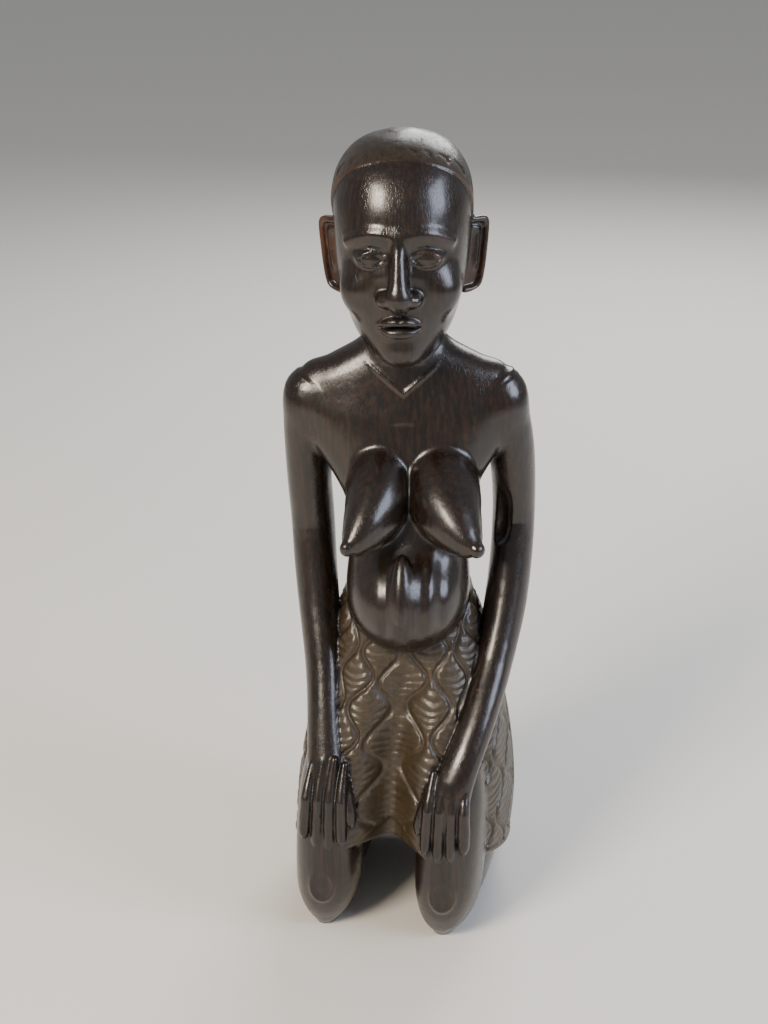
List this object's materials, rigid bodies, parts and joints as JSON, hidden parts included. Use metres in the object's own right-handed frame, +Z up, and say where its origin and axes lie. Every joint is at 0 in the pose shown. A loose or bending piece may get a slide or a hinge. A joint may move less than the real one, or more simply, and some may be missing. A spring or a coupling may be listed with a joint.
{
  "type": "carved kneeling expectant mother figure",
  "caption": "Carved dark wooden figure of a kneeling expectant mother, hands on her thighs, in a patterned wrap; stands by its own weight.",
  "frame": {"origin": "middle of the bounding box, on the surface that the figure kneels on", "axes": "+Z up along the body; the figure faces -Y, so +X is towards its own left hand"},
  "size_m": [0.0868, 0.0932, 0.2798],
  "materials": {
    "dark_ebony": "hand-carved and polished, near-black brown, warmer where it is worn"
  },
  "bodies": {
    "root": {"kneeling_mother": "dark_ebony"}
  },
  "joints": []
}
